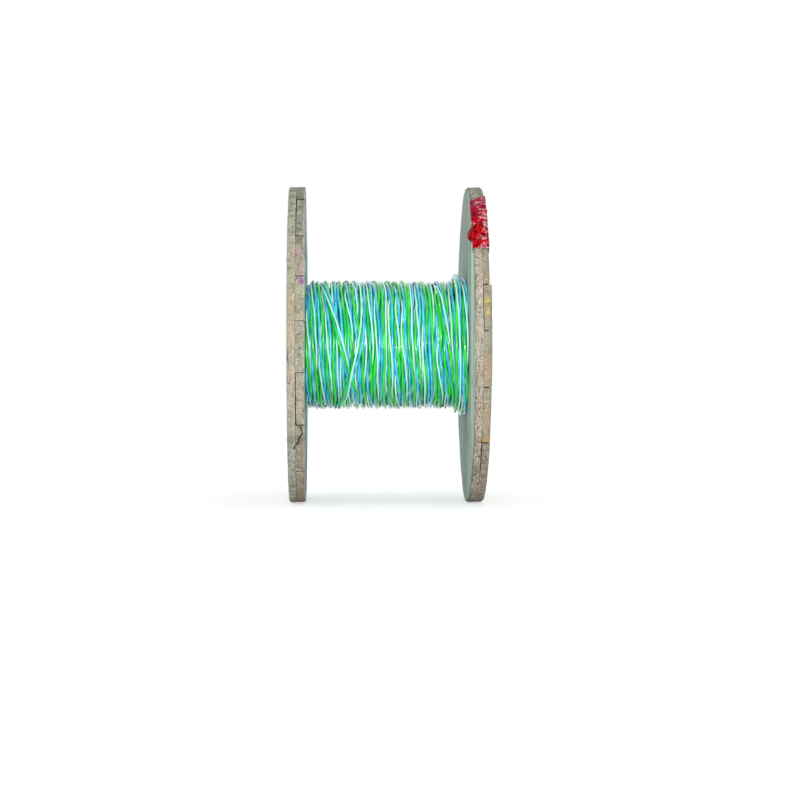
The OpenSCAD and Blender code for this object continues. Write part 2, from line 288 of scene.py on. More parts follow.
class Grain:
    """Noises and masks of one board. Its grain runs up or level, and its rings are a log's."""

    def __init__(self, finish, upright, side, span, seed):
        chance = random.Random(seed)
        self.upright = upright
        self.place = finish.place
        self.own = self.place.moved(tuple(chance.uniform(-3, 3) for _ in range(3)))
        self.across = self.place.part(1 if upright else 2)
        self.face = finish.facing(0).size().band(0.5, 0.8)
        self.rim = 1 - 0.85 * self.face
        self.foot = (AXIS_H - self.place.part(2)).band(0.09, 0.18)
        self.top = (self.place.part(2) - AXIS_H).band(0.12, 0.18)

        along_grain = self.stretched(0.07)
        rings = self.from_pith(side, chance) + 0.016 * along_grain.noise(11.0, 3.0)
        self.knots = self.from_knots(span, chance)
        rings = rings + 0.012 * (1 - self.knots.band(0.0, 0.032)) * self.face
        phase = (rings / chance.uniform(0.0030, 0.0046)).fraction()
        self.late = phase.band(0.35, 0.93) * (1 - phase.band(0.95, 1.0))
        self.streaks = along_grain.noise(380.0, 4.0, 0.65)
        self.blotches = along_grain.noise(60.0, 3.0, 0.6)
        self.fibres = self.stretched(0.02).noise(1900.0, 2.0)

        self.patches = self.own.noise(19.0, 4.0, 0.65)
        self.moss = self.own.moved((7.0, 3.0, 1.0)).noise(38.0, 4.0, 0.65)
        self.grime = self.own.noise(95.0, 4.0, 0.65)
        self.pits = self.own.noise(520.0, 3.0, 0.6)
        split = 1 - (self.stretched(0.02).noise(70.0, 1.0) - 0.5).size().band(0.0, 0.008)
        self.crack = split * self.own.noise(9.0, 1.0).band(0.52, 0.6)
        bored = 1 - (self.own.noise(210.0, 2.0) - 0.5).size().band(0.0, 0.02)
        self.worms = bored * self.patches.band(0.45, 0.6) * self.rim

    def stretched(self, share):
        """The board's own place, with what is made from it drawn out along the grain."""
        return self.own.scaled((1.0, 1.0, share) if self.upright else (1.0, share, 1.0))

    def from_pith(self, side, chance):
        """Distance from the middle of the log that the board was sawn from."""
        pith_depth = side * (INNER_FACE + chance.choice((-1, 1)) * chance.uniform(0.03, 0.09))
        pith_across = (0 if self.upright else AXIS_H) + chance.uniform(-0.2, 0.2)
        from_depth = self.place.part(0) - pith_depth
        from_across = self.across - pith_across
        return (from_depth * from_depth + from_across * from_across).root()

    def from_knots(self, span, chance):
        """Distance from the nearest knot, shorter along the grain."""
        squash = (0.0, 1.0, KNOT_SQUASH) if self.upright else (0.0, KNOT_SQUASH, 1.0)
        flat = self.place.scaled(squash)
        nearest = None
        for _ in range(chance.choice((1, 2, 2, 3))):
            up = AXIS_H + chance.uniform(-KNOT_SPREAD, KNOT_SPREAD)
            back = chance.uniform(-KNOT_SPREAD, KNOT_SPREAD)
            if span:
                middle = span[0] + (span[1] - span[0]) * chance.uniform(0.25, 0.75)
                up, back = (up, middle) if self.upright else (middle + AXIS_H, back)
            near = flat.away((0.0, back * squash[1], up * squash[2]))
            nearest = near if nearest is None else nearest.least(near)
        return nearest


def bare_grain(grain, tones):
    pale, dark = tones
    tint = mix(grain.late * (0.12 + 0.35 * grain.patches + 0.25 * grain.face), pale, dark)
    tint = mix(grain.streaks.band(0.45, 0.72) * (0.35 + 0.25 * grain.face), tint, dark)
    return mix(grain.blotches.band(0.42, 0.7) * 0.45 * grain.face, tint, WEATHERED)


def weathered_rim(grain, tint, ply):
    """Moss, grime, pits, worm marks and specks, which lie on the rim for the most part."""
    patch_specks, all_specks, foot_tone, top_tone = RIM_LOOK[ply]
    own, rim, foot, top = grain.own, grain.rim, grain.foot, grain.top
    tint = mix(grain.patches.band(0.45, 0.68) * 0.5 * rim, tint, WARM_BROWN)
    tint = mix(grain.moss.band(0.44, 0.64) * 0.7 * rim, tint, MOSS_GREY)
    tint = mix(grain.grime.band(0.48, 0.66) * 0.6 * rim, tint, GRIME_DARK)
    tint = mix(grain.pits.band(0.52, 0.68) * 0.6 * rim, tint, PIT_DARK)
    tint = mix(own.noise(300.0, 3.0).band(0.55, 0.7) * 0.45 * rim, tint, BLEACHED)
    tint = mix(grain.worms * 0.4, tint, WORM_BROWN)
    tint = mix(foot * (0.45 + 0.6 * grain.moss) * rim, tint, foot_tone)
    tint = mix(top * (0.45 + 0.6 * grain.moss) * rim, tint, top_tone)
    ends = (foot + top) * rim
    tint = mix(ends * own.noise(85.0, 3.0).band(0.48, 0.6) * 0.6, tint, END_DARK)
    tint = mix(ends * own.noise(110.0, 2.0).band(0.54, 0.66) * 0.6, tint, END_PALE)
    zone = (own.noise(16.0, 2.0).band(0.38, 0.58) * patch_specks + 0.5 * foot + all_specks) * rim
    pepper = own.moved((5.0, 2.0, 0.0)).noise(430.0, 2.0, 0.7).band(0.5, 0.59)
    salt = own.noise(520.0, 2.0, 0.7).band(0.56, 0.63)
    tint = mix(pepper * 0.75 * zone, tint, PEPPER)
    return mix(salt * 0.6 * zone, tint, SALT)


def green_face(grain, tint, side, inward):
    """Green-grey film on a flange's inner face, where inward is 1. Its greener middle, between a greyer foot
    and top, is painted green light bounced off the winding; the dark band on the rounded corner to the rim is
    painted shade.
    """
    shade = grain.late * 0.3 + grain.streaks.band(0.35, 0.7) * 0.45 + grain.grime * 0.1
    film = mix(shade, GREEN_GREY, GREEN_DARK)
    film = mix(grain.stretched(0.1).noise(38.0, 2.0).band(0.45, 0.58) * 0.55, film, GREEN_BROAD)
    if side < 0:
        # Greyer top and foot leave a greener middle: painted green light bounced off the winding
        film = mix((grain.top + grain.foot) * 0.45, film, GREEN_END)
        return mix(inward.band(0.5, 0.85) * 0.95, tint, film)
    lines = grain.stretched(0.05).noise(52.0, 2.0)
    film = mix(lines.band(0.52, 0.62) * 0.3, film, GREEN_LINE)
    film = mix((1 - lines.band(0.36, 0.46)) * 0.4, film, GREEN_PALE)
    clear = (1 - (grain.across - CLEAR_BACK).size().band(0.016, 0.042)) * (1 - grain.foot)
    film = mix(clear * 0.8, film, GREEN_CLEAR)
    # Greyer foot and top leave a greener middle: painted green light bounced off the winding
    film = mix(grain.foot * 0.5, film, GREEN_FOOT)
    film = mix(grain.top * 0.45, film, GREEN_END)
    tint = mix(inward.band(0.5, 0.85) * 0.95, tint, film)
    # Painted shade on the rounded corner between the inner face and the rim
    corner = inward.band(0.2, 0.5) * (1 - inward.band(0.8, 0.98))
    return mix(corner * 0.75, tint, GREEN_CORNER_SHADE)


def with_knots(grain, tint):
    knot = 1 - (grain.knots + 0.004 * (grain.grime - 0.5)).band(0.0042, 0.0072)
    return mix(knot * grain.face * 0.8, tint, mix(grain.streaks, KNOT_PALE, KNOT_DARK))


def worn_edges(grain, tint, side, faces):
    """Pale wood where the corners of the rim are rubbed."""
    out = grain.place.part(0) * side - INNER_FACE
    edge = (out - faces[0]).size().least((out - faces[1]).size())
    ragged = grain.own.noise(130.0, 3.0)
    worn = (1 - (edge + 0.0016 * ragged).band(0.0011, 0.0022)) * ragged.band(0.42, 0.6)
    return mix(worn * grain.rim * 0.8, tint, PALE_WEAR_AND_HIGHLIGHT)


def painted_seam_shade(grain, tint, span):
    """Painted shade: dark lines along the two seams of a level board."""
    up = grain.across - AXIS_H
    seam = (up - span[0]).size().least((up - span[1]).size())
    return mix((1 - seam.band(0.5 * MM, 1.1 * MM)) * 0.8 * grain.rim, tint, CRACK_DARK_AND_SEAM_SHADE)


def stained(grain, tint, stain):
    place, size, colour, strength, squash = stain
    blot = grain.place.scaled((1.0, 1.0, squash)).away(above_axis(place, squash))
    blot = blot + 0.016 * (grain.place.noise(170.0, 3.0, 0.7) - 0.5)
    return mix((1 - blot.band(size * 0.2, size)) * strength, tint, colour)


def above_axis(point, squash=1.0):
    along, back, up = point
    return (along, back, (AXIS_H + up) * squash)


def spots(place, centres, inner, outer):
    """1 within inner of any of the centres, and 0 beyond outer."""
    found = None
    for centre in centres:
        near = 1 - place.away(centre).band(inner, outer)
        found = near if found is None else found.most(near)
    return found


def wood(name, ply, tones, upright, side, seed, stains=(), split_and_highlight_lines=(), nails=(), faces=None, span=None):
    """Weathered board: its grain, what lies on it, and its own stains, rusty nails, splits and painted
    highlight lines.
    """
    finish = Finish(name, 0.85, specular=0.2)
    grain = Grain(finish, upright, side, span, seed)
    tint = weathered_rim(grain, bare_grain(grain, tones), ply)
    if ply.endswith("inner"):
        tint = green_face(grain, tint, side, -side * finish.facing(0))
    tint = with_knots(grain, tint)
    if faces:
        tint = worn_edges(grain, tint, side, faces)
    if ply == "right_outer":
        tint = painted_seam_shade(grain, tint, span)
    for stain in stains:
        tint = stained(grain, tint, stain)
    if nails:
        near = spots(grain.place, nails, 3.2 * MM, 8.5 * MM)
        tint = mix(near * (0.35 + 0.5 * grain.own.noise(220.0, 2.0)), tint, RUST_STAIN)
    crack = grain.crack
    for start, end, width, colour in split_and_highlight_lines:
        line = ragged_line(grain.place, above_axis(start), above_axis(end), width) * grain.rim
        crack = crack.most(line)
        tint = mix(line * 0.9, tint, colour)
    finish.set("Base Color", mix(crack * 0.85, tint, CRACK_DARK_AND_SEAM_SHADE))
    finish.set("Roughness", 0.92 - 0.16 * grain.streaks)
    height = grain.streaks * 0.5 + grain.fibres * 0.2 - grain.late * 0.25 - crack * 1.6 - grain.worms * 0.5
    height = height + grain.rim * (grain.grime * 0.6 - grain.pits.band(0.55, 0.8) * 0.7)
    finish.bump(height, 0.75, 1.1 * MM)
    return finish.made


def bent(place, scale, reach):
    """The place moved by 0 to reach along each axis."""
    swirl = place.node("ShaderNodeTexNoise", {"Vector": place, "Scale": scale, "Detail": 2.0}, output=1)
    return place.node("ShaderNodeVectorMath", [place, swirl.scaled((reach, reach, reach))], operation="ADD")


def ragged_line(place, start, end, width):
    """1 on the uneven line between two points, and 0 beyond width from it."""
    first, last = Vector(start), Vector(end)
    run = last - first
    sway = 4.5 * MM
    off = bent(place, 130.0, sway).moved(tuple(-first - Vector((sway, sway, sway)) / 2))
    dotted = off.node("ShaderNodeVectorMath", [off, tuple(run)], output="Value", operation="DOT_PRODUCT")
    share = (dotted / run.length_squared).most(0.0).least(1.0)
    level = off.part(0) - share * run.x
    upward = off.part(2) - share * run.z
    gap = (level * level + upward * upward).root() + 0.0012 * (place.noise(240.0, 2.0) - 0.5)
    return 1 - gap.band(width * 0.35, width)


# ---- Steel, wire and tape ----

RUST_DARK = rgb(88, 58, 40)
RUST_LIGHT = rgb(136, 88, 56)
SCUFF_GREY = rgb(120, 132, 118)
TAPE_RED = rgb(184, 0, 16)
# Painted shade in the tape's folds
TAPE_FOLD_SHADE = rgb(96, 0, 8)
# Painted sheen on the tape's upper part
TAPE_PURPLE_SHEEN = rgb(150, 18, 78)
# Painted highlights along the tape's crease lines
TAPE_CREASE_HIGHLIGHT = rgb(255, 214, 226)
# Middles of a painted highlight blob on the tape
TAPE_HIGHLIGHT_MIDDLES = (
    (0.1439, -0.149, AXIS_H + 0.2007),
    (0.1461, -0.1614, AXIS_H + 0.191),
    (0.1478, -0.1704, AXIS_H + 0.1829),
)


def rusty_steel(name, bare, rust_share, roughness):
    finish = Finish(name, roughness)
    place = finish.place
    blotches = place.noise(120.0, 5.0, 0.65)
    pits = place.noise(900.0, 3.0)
    reach = rust_share * 0.4
    rusted = (blotches + 0.25 * (pits - 0.5)).band(0.62 - reach, 0.78 - reach)
    rust = mix(pits.band(0.35, 0.7), RUST_DARK, RUST_LIGHT)
    finish.set("Base Color", mix(rusted, bare, rust))
    finish.set("Metallic", 0.9 - 0.85 * rusted)
    finish.set("Roughness", roughness + 0.3 * rusted + 0.15 * (pits - 0.5))
    finish.bump(pits * 0.5 + rusted * 0.5, 0.5, 0.25 * MM)
    return finish.made


def insulation(name, colour, deep):
    """Glossy moulded skin of one core, faintly mottled and scuffed."""
    finish = Finish(name, 0.3, coat=0.9, specular=0.25)
    finish.shader.inputs["Coat Roughness"].default_value = 0.07
    place = finish.place
    mottle = place.scaled((1.0, 0.14, 0.14)).noise(260.0, 2.0)
    scuffs = place.noise(700.0, 3.0, 0.6)
    dents = place.noise(300.0, 1.0)
    tint = mix(mottle.band(0.36, 0.64), colour, deep)
    tint = mix(scuffs.band(0.66, 0.85) * 0.2, tint, SCUFF_GREY)
    finish.set("Base Color", tint)
    finish.set("Roughness", 0.2 + 0.2 * scuffs.band(0.4, 0.8))
    finish.bump(scuffs * 0.5 + dents, 0.35, 0.3 * MM)
    return finish.made


def tape_plastic():
    """Glossy red plastic, with painted highlights along crease lines and in one blob, a painted sheen on its
    upper part and painted shade in its folds.
    """
    finish = Finish("crinkled_red_tape", 0.15, specular=0.03)
    place = finish.place
    folds = place.noise(120.0, 4.0, 0.6)
    fine = place.noise(620.0, 2.0)
    cells = {"Vector": bent(place, 90.0, 20 * MM), "Scale": 95.0}
    edge = place.node("ShaderNodeTexVoronoi", cells, output="Distance", feature="DISTANCE_TO_EDGE")
    outer_part = place.part(0).band(INNER_FACE + 6 * MM, INNER_FACE + 22 * MM) * 0.12
    # Painted sheen: a purple cast on the tape's upper part
    upper_sheen = (place.part(2) - AXIS_H).band(0.19, 0.23)
    # Painted highlights: pale, broken lines along the crease cells, which also sink the bump
    crease_lines_and_highlights = (1 - edge.band(0.006, 0.04)) * (place.noise(75.0, 2.0) + outer_part).band(0.55, 0.62)
    crease_lines_and_highlights = crease_lines_and_highlights * place.part(0).band(INNER_FACE + 0.5 * MM, INNER_FACE + 2 * MM)
    crease_lines_and_highlights = crease_lines_and_highlights * place.noise(330.0, 3.0, 0.7).band(0.3, 0.5)
    # Painted highlight blob round the listed middles, broken up by noise
    glare_breakup = place.noise(260.0, 3.0, 0.7).band(0.5, 0.6) * 0.8
    crease_lines_and_highlights = crease_lines_and_highlights.most(spots(place, TAPE_HIGHLIGHT_MIDDLES, 2 * MM, 8 * MM) * glare_breakup)
    # Painted shade: darker red where the fold noise is high
    tint = mix(folds.band(0.42, 0.6), TAPE_RED, TAPE_FOLD_SHADE)
    tint = mix(upper_sheen * 0.45, tint, TAPE_PURPLE_SHEEN)
    tint = mix(crease_lines_and_highlights * 0.9, tint, TAPE_CREASE_HIGHLIGHT)
    finish.set("Base Color", tint)
    finish.set("Roughness", 0.1 + 0.15 * fine)
    finish.bump(folds + 0.15 * fine - 0.5 * crease_lines_and_highlights, 0.35, 0.6 * MM)
    return finish.made


# ---- Mesh helpers ----

def add_mesh(name, vertices, faces, finish, sharp=None):
    mesh = bpy.data.meshes.new(name)
    mesh.from_pydata([tuple(v) for v in vertices], [], [tuple(f) for f in faces])
    mesh.polygons.foreach_set("use_smooth", [True] * len(mesh.polygons))
    if sharp:
        mesh.set_sharp_from_angle(angle=math.radians(sharp))
    mesh.materials.append(finish)
    mesh.update()
    made = bpy.data.objects.new(name, mesh)
    bpy.context.scene.collection.objects.link(made)
    return made


def stands_for(piece, node):
    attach(piece, "root")
    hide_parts(node)
    return piece


def stand_in(name, shape, finish, node, sharp=None):
    """A closed mesh that rides on the drum in place of a CAD node."""
    return stands_for(outward(add_mesh(name, *shape, finish, sharp)), node)


def on_flange(side, back, up, out):
    """Place of a point: back, up and out from a flange's inner face."""
    return (side * (INNER_FACE + out), back, AXIS_H + up)


def on_circle(side, centre, radius, turn, out):
    return on_flange(side, centre[0] + radius * math.cos(turn), centre[1] + radius * math.sin(turn), out)


def grid_faces(rows, columns, offset=0, closed=True):
    """Quads of a grid of rows; each row closes on itself if closed."""
    faces = []
    last = columns if closed else columns - 1
    for row in range(rows - 1):
        for column in range(last):
            here = offset + row * columns + column
            beside = offset + row * columns + (column + 1) % columns
            faces.append((here, beside, beside + columns, here + columns))
    return faces


def capped_faces(rows, columns):
    """Quads of a grid of closed rows, with its first and last row filled."""
    faces = grid_faces(rows, columns)
    faces.append(tuple(range(columns)))
    faces.append(tuple(reversed(range((rows - 1) * columns, rows * columns))))
    return faces


def lathe(rings, segments, side, centre):
    """Vertices and faces of a solid turned round an axis along X. rings are (radius, out)."""
    vertices = []
    for radius, out in rings:
        for k in range(segments):
            vertices.append(on_circle(side, centre, radius, 2 * math.pi * k / segments, out))
    return vertices, capped_faces(len(rings), segments)


def joined(parts):
    vertices = []
    faces = []
    for some, more in parts:
        faces += [tuple(index + len(vertices) for index in face) for face in more]
        vertices += some
    return vertices, faces


def outward(made):
    """Turns the faces of a closed mesh outwards."""
    shape = bmesh.new()
    shape.from_mesh(made.data)
    bmesh.ops.recalc_face_normals(shape, faces=shape.faces)
    shape.to_mesh(made.data)
    shape.free()
    return made


# ---- Boards ----

EDGE_STEPS = (0.0, 0.35, 0.9, 1.8, 3.2, 4.8)   # distances of the rings from a face, in mm
ARC_STEP = 3 * MM
SIDE_STEP = 7 * MM
FOOT_WEAR = 0.2 * MM
TIGHT_BELOW = -0.08             # height under which the left inner boards lie tight
LEAN_BELOW = -0.185             # height under which a board that stands off its ply leans back to it
LEAN_OVER = 0.02                # height over which it does so
PLY_GAP = 0.15                  # usual share of a board in the gap between its plies, in mm
CUTTER_PAST = 3 * MM            # how far a cutter goes past the wood


def strip_of(node, upright):
    low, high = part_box(node)
    if upright:
        return low[1], high[1]
    return low[2] - AXIS_H, high[2] - AXIS_H


def board_outline(low, high, upright):
    """Points round one board: across, along, and whether it is on the rim."""
    limit = math.radians(89.1)
    first = max(-limit, math.asin(max(-1, low / FLANGE_R)))
    last = min(limit, math.asin(min(1, high / FLANGE_R)))
    arc_count = max(4, int(FLANGE_R * (last - first) / ARC_STEP))
    turns = np.linspace(first, last, arc_count)
    rows = [(FLANGE_R * math.sin(turn), -FLANGE_R * math.cos(turn), True) for turn in turns]
    for edge, normal in ((last, 1), (first, -1)):
        across = FLANGE_R * math.sin(edge)
        bottom = -FLANGE_R * math.cos(edge)
        if upright:
            bottom = max(bottom, -AXIS_H)
        top = FLANGE_R * math.cos(edge)
        count = max(2, int((top - bottom) / SIDE_STEP))
        heights = np.linspace(bottom, top, count + 1)[1:-1]
        if normal > 0:
            rows += [(across, height, False) for height in heights]
            rows += [(FLANGE_R * math.sin(turn), FLANGE_R * math.cos(turn), True) for turn in turns[::-1]]
        else:
            rows += [(across, height, False) for height in heights[::-1]]
    return rows


def wear_at(place, depth, thickness, recess, seed, outer_ply):
    """How far a board's edge is worn in at a point, in metres: (at its seam, at the rim)."""
    own = Vector(place) + Vector((seed * 1.7, 0, 0))
    slow = 0.5 + 0.5 * noise.noise(own * 22)
    rough = noise.noise(own * 150)
    fine = noise.noise(own * 420)
    from_face = min(depth, thickness - depth)
    wear = max(0.5, 0.9 + 1.0 * slow + 0.8 * noise.noise(own * 60)) * MM
    open_side = (depth > thickness / 2) == outer_ply
    chip = max(0.0, noise.noise(own * 48) - 0.34) * 9 * MM
    chip *= max(0.0, 1 - from_face / (4 * MM))
    at_seam = 0.04 * MM + 0.12 * MM * slow + 0.3 * rounded(from_face, 0.7 * wear)
    at_rim = recess + (0.5 * slow + 0.22 * rough + 0.12 * fine + 0.3) * MM + chip
    at_rim += rounded(from_face, wear * (2.4 if open_side else 0.35))
    return at_seam, at_rim


def rounded(from_face, radius):
    """How far a rounded edge lies inside the square one, at a distance from the face."""
    if from_face >= radius:
        return 0.0
    return radius * (1 - math.sqrt(1 - (1 - from_face / radius) ** 2))


def settle(row, low, high, at_seam, at_rim, upright):
    """Place of a worn point of the outline: across and along."""
    across, along, on_rim = row
    reach = FLANGE_R - at_rim
    if on_rim:
        across *= reach / FLANGE_R
    across = min(max(across, low + at_seam), high - at_seam)
    limit = math.sqrt(max(0.0, reach ** 2 - across ** 2))
    along = math.copysign(limit, along) if on_rim else min(max(along, -limit), limit)
    if upright:
        along = max(along, FOOT_WEAR - AXIS_H)
    else:
        across = max(across, FOOT_WEAR - AXIS_H)
    return across, along


def board(ply, index, inner_out, outer_out, recess, finish):
    """One board between two heights out from the inner face."""
    node = f"{ply}_board_{index + 1}"
    side = -1 if ply.startswith("left") else 1
    upright = UPRIGHT[ply]
    low, high = strip_of(node, upright)
    rows = board_outline(low, high, upright)
    thickness = outer_out - inner_out
    steps = [d * MM for d in EDGE_STEPS]
    depths = steps + [thickness / 2] + [thickness - d for d in reversed(steps)]
    seed = 7 * index + len(ply)
    vertices = []
    for depth in depths:
        for row in rows:
            back, up = row[:2] if upright else (row[1], row[0])
            place = on_flange(side, back, up, inner_out + depth)
            at_seam, at_rim = wear_at(place, depth, thickness, recess, seed, ply.endswith("outer"))
            if ply == "left_inner" and up < TIGHT_BELOW:
                at_seam -= 0.3 * MM
            lean = 0.0
            if ply == "right_outer":
                lean = (inner_out - PLY - PLY_GAP * MM) * min(1.0, max(0.0, (LEAN_BELOW - up) / LEAN_OVER))
                lean *= max(0.0, 1 - 2 * depth / thickness)
            across, along = settle(row, low, high, at_seam, at_rim, upright)
            back, up = (across, along) if upright else (along, across)
            vertices.append(on_flange(side, back, up, inner_out + depth - lean))
    faces = capped_faces(len(depths), len(rows))
    made = outward(add_mesh(f"weathered_{node}", vertices, faces, finish))
    if low < ROD_CIRCLE_R + POCKET_R and high > -ROD_CIRCLE_R - POCKET_R:
        cut_holes(made, side)
    made.data.set_sharp_from_angle(angle=math.radians(38))
    return stands_for(made, node)


def rod_places():
    turns = [math.pi / 2 + 2 * math.pi * k / ROD_COUNT for k in range(ROD_COUNT)]
    return [(ROD_CIRCLE_R * math.cos(turn), ROD_CIRCLE_R * math.sin(turn)) for turn in turns]


def cut_holes(made, side):
    """Cuts the bush's hole and seat, and the rods' holes and pockets, out of a board."""
    holes = [(BUSH_HOLE_R, PLATE_HOLE_R, PLATE_T, 72, (0, 0))]
    holes += [(ROD_HOLE_R, POCKET_R, POCKET_DEPTH, 48, place) for place in rod_places()]
    top = 2 * PLY
    parts = []
    for narrow, wide, sunk, segments, place in holes:
        rings = [(narrow, -CUTTER_PAST), (narrow, top - sunk), (wide, top - sunk), (wide, top + CUTTER_PAST)]
        parts.append(lathe(rings, segments, side, place))
    cutter = outward(add_mesh("hole_cutter", *joined(parts), made.data.materials[0]))
    change = made.modifiers.new("holes", "BOOLEAN")
    change.operation = "DIFFERENCE"
    change.solver = "EXACT"
    change.object = cutter
    bpy.context.view_layer.update()
    seen = made.evaluated_get(bpy.context.evaluated_depsgraph_get())
    mesh = bpy.data.meshes.new_from_object(seen)
    made.modifiers.clear()
    made.data = mesh
    bpy.data.objects.remove(cutter)


def seams_of(ply):
    strips = [strip_of(f"{ply}_board_{k + 1}", UPRIGHT[ply]) for k in range(BOARD_COUNTS[ply])]
    between = [(strips[k][1] + strips[k + 1][0]) / 2 for k in range(len(strips) - 1)]
    return [-FLANGE_R, *between, FLANGE_R]


def nail_places(uprights, levels):
    """One nail at each crossing of an upright and a level board: back, up, upright board, level board."""
    places = []
    for i in range(len(uprights) - 1):
        for j in range(len(levels) - 1):
            across = (uprights[i] + uprights[i + 1]) / 2
            up = (levels[j] + levels[j + 1]) / 2
            pull = min(1.0, (FLANGE_R - NAIL_RIM) / math.hypot(across, up))
            across, up = across * pull, up * pull
            fits = uprights[i] + NAIL_SIDE < across < uprights[i + 1] - NAIL_SIDE
            fits = fits and levels[j] + NAIL_SIDE < up < levels[j + 1] - NAIL_SIDE
            if fits and math.hypot(across, up) > NAIL_INNER_R:
                places.append((across, up, i, j))
    return places


LEFT_NAILS = nail_places(seams_of("left_outer"), seams_of("left_inner"))
RIGHT_NAILS = nail_places(seams_of("right_inner"), seams_of("right_outer"))

# Boards that stand off the other ply, in mm, counted from 0
INNER_OFF = {"left_inner": {2: 1.1, 6: 1.1, 7: 0.5}, "right_inner": {1: 0.5}}
OUTER_OFF = {"right_outer": {0: 1.1, 3: 0.8}, "left_outer": {1: 0.4, 4: 0.5}}
RIM_RECESS = {
    "left_outer": (0.2, 0.9, 0.3, 0.6, 0.2, 0.8),
    "left_inner": (0.9, 0.4, 1.3, 0.3, 0.7, 0.3, 1.1, 0.5),
    "right_inner": (0.4, 1.0, 0.3, 0.6, 0.2, 0.9),
    "right_outer": (0.7, 0.3, 0.5, 0.2, 1.5, 1.3),
}
OCHRE = rgb(190, 178, 84)
BROWN = rgb(184, 150, 84)
PEACH = rgb(180, 152, 124)
PINK = rgb(206, 142, 184)
PURPLE = rgb(142, 66, 150)
DARK = rgb(84, 78, 64)
TALL = 0.5                      # shapes of stains: height squashed by this
FLAT = 1.6
# Stains: place (along the axis, back, up from the axis), size, colour, strength, shape
STAINS = {
    ("left_inner", 5): (
        ((-0.1365, -0.2055, 0.142), 8 * MM, PINK, 0.5, TALL),
        ((-0.1285, -0.223, 0.112), 5 * MM, PINK, 0.55, TALL),
    ),
    ("left_inner", 4): (((-0.1295, -0.2298, 0.0985), 8 * MM, PURPLE, 0.7, TALL),),
    ("left_inner", 1): (
        ((-0.1330, -0.205, -0.1430), 9 * MM, DARK, 0.6, TALL),
        ((-0.1330, -0.2172, -0.1237), 7 * MM, DARK, 0.5, TALL),
    ),
    ("left_outer", 0): (((-0.1470, -0.2046, -0.1437), 8 * MM, DARK, 0.55, TALL),),
    ("left_outer", 1): (((-0.1490, -0.2206, -0.1176), 7 * MM, DARK, 0.5, TALL),),
    ("right_inner", 1): (((0.1350, -0.2055, -0.1400), 10 * MM, BROWN, 0.4, FLAT),),
    ("right_outer", 1): (
        ((0.1450, -0.2225, -0.1120), 26 * MM, PEACH, 0.5, TALL),
        ((0.1480, -0.2055, -0.1415), 10 * MM, BROWN, 0.7, FLAT),
        ((0.1420, -0.2035, -0.1435), 9 * MM, BROWN, 0.7, FLAT),
    ),
    ("right_outer", 2): (((0.1450, -0.2455, -0.0470), 19 * MM, PEACH, 0.5, TALL),),
    ("right_outer", 3): (
        ((0.1445, -0.241, 0.067), 6 * MM, OCHRE, 0.9, TALL),
        ((0.1468, -0.245, 0.0495), 4.5 * MM, OCHRE, 0.95, TALL),
    ),
}

# Splits in the rim, and a painted highlight line: from, to (along the axis, back, up from the axis), half
# width, colour
LONG_SPLIT = ((-0.1272, -0.2146, -0.1283), (-0.1420, -0.1955, -0.1560), 1.5 * MM, CRACK_DARK_AND_SEAM_SHADE)
SPLIT_AND_HIGHLIGHT_LINES = {
    ("left_outer", 0): (LONG_SPLIT,),
    ("left_outer", 1): (LONG_SPLIT,),
    ("left_inner", 1): (
        LONG_SPLIT,
        ((-0.1325, -0.2175, -0.1225), (-0.1285, -0.2120, -0.1325), 1.2 * MM, CRACK_DARK_AND_SEAM_SHADE),
        # Painted highlight: a pale line along the inner edge of the rim
        ((-0.1272, -0.2110, -0.1340), (-0.1278, -0.2190, -0.1190), 0.8 * MM, PALE_WEAR_AND_HIGHLIGHT),
    ),
    ("right_inner", 1): (((0.1355, -0.185, -0.168), (0.1392, -0.196, -0.154), 0.8 * MM, CRACK_DARK_AND_SEAM_SHADE),),
}


def board_faces(ply, index, chance):
    """How far out a board's two faces lie from the flange's inner face."""
    if ply.endswith("inner"):
        inner_out = chance.uniform(0.05, 0.5) * MM
        return inner_out, PLY - INNER_OFF[ply].get(index, PLY_GAP) * MM
    outer_out = 2 * PLY - HEAD_PROUD - chance.uniform(0, 0.5) * MM
    if ply == "right_outer":
        outer_out -= RIGHT_OUTER_THIN[index]
    return PLY + OUTER_OFF[ply].get(index, PLY_GAP) * MM, outer_out


def board_tones(ply, chance):
    """The ply's two tones, a little lighter or darker and warmer or cooler."""
    lift = chance.uniform(0.88, 1.06)
    hue = (lift * chance.uniform(0.97, 1.05), lift, lift * chance.uniform(0.93, 1.05), 1.0)
    return [tuple(part * by for part, by in zip(tone, hue)) for tone in WOOD_TONES[ply]]


def heads_on(ply, index, out):
    """Places of the nail heads on an outer board."""
    if ply.endswith("inner"):
        return []
    side, nails, column = (-1, LEFT_NAILS, 2) if ply == "left_outer" else (1, RIGHT_NAILS, 3)
    return [on_flange(side, nail[0], nail[1], out) for nail in nails if nail[column] == index]


def build_boards():
    for ply, count in BOARD_COUNTS.items():
        side = -1 if ply.startswith("left") else 1
        upright = UPRIGHT[ply]
        chance = random.Random(len(ply) * 31 + side)
        for index in range(count):
            faces = board_faces(ply, index, chance)
            seed = sum(ord(letter) for letter in ply) * 17 + index
            finish = wood(f"{ply}_wood_{index + 1}", ply, board_tones(ply, chance), upright, side, seed,
                          STAINS.get((ply, index), ()), SPLIT_AND_HIGHLIGHT_LINES.get((ply, index), ()),
                          heads_on(ply, index, faces[1]), faces,
                          strip_of(f"{ply}_board_{index + 1}", upright))
            board(ply, index, *faces, RIM_RECESS[ply][index] * MM, finish)


# ---- Nails, steel and barrel ----

# Rings of a nail's head above its foot: share of its radius, mm below its top
HEAD_RINGS = ((1.0, 0.75), (0.97, 0.35), (0.75, 0.12), (0.4, 0.02), (0.12, 0.04))


